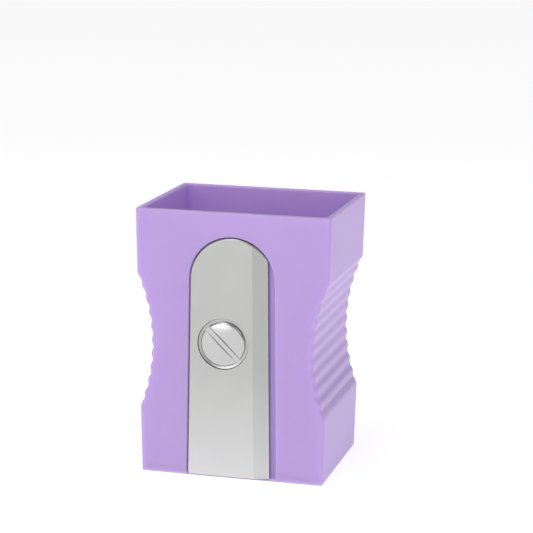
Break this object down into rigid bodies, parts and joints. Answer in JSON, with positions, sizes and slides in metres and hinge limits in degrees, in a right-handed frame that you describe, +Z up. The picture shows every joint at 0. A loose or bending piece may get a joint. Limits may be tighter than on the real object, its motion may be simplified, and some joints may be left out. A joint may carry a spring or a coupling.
{
  "type": "sharpener-shaped pencil cup",
  "caption": "Free-standing desk cup for pens and pencils, shaped like an oversized wedge pencil sharpener with ribbed waisted sides, a silver blade plate and a slotted screw.",
  "frame": {"origin": "centre of the footprint, on the surface that the cup stands on", "axes": "+Z up, -Y towards the front face with the blade plate, +X to the right as the front is seen"},
  "size_m": [0.075, 0.0624, 0.1023],
  "materials": {
    "lilac_plastic": "satin",
    "satin_silver": "satin",
    "bright_silver": "gloss"
  },
  "bodies": {
    "root": {"cup_shell": "lilac_plastic", "base_plate": "lilac_plastic", "blade_plate": "satin_silver", "blade_screw": "bright_silver"}
  },
  "joints": []
}
